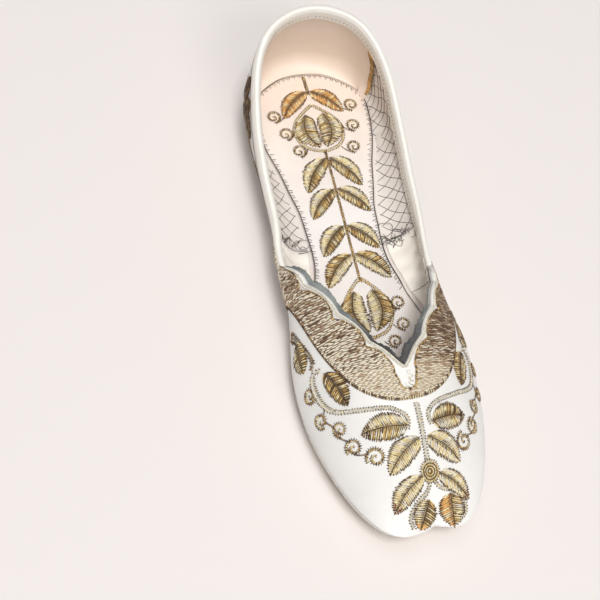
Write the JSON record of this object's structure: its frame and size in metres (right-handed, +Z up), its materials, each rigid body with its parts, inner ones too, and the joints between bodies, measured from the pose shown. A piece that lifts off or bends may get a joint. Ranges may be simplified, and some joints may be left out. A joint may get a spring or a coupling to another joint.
{
  "type": "embroidered ballet flat",
  "caption": "Soft leather slip-on flat with a notched toe, scalloped V throat with an embroidered band, rolled collar binding, padded sock and moulded sole.",
  "frame": {"origin": "centre of the footprint, on the ground under the sole", "axes": "+Y to the heel, -Y to the toe, +X across the foot, +Z up out of the collar"},
  "size_m": [0.0812, 0.2482, 0.0601],
  "materials": {
    "sole_rubber": "glossy cream moulded sole",
    "welt_leather": "white leather strip",
    "upper_leather": "smooth white leather",
    "insole_leather": "pinkish white sock leather",
    "binding_leather": "soft cream rolled leather"
  },
  "bodies": {
    "root": {"outsole": "sole_rubber", "midsole": "welt_leather", "insole": "insole_leather", "upper": "upper_leather", "collar_binding": "binding_leather"}
  },
  "joints": []
}
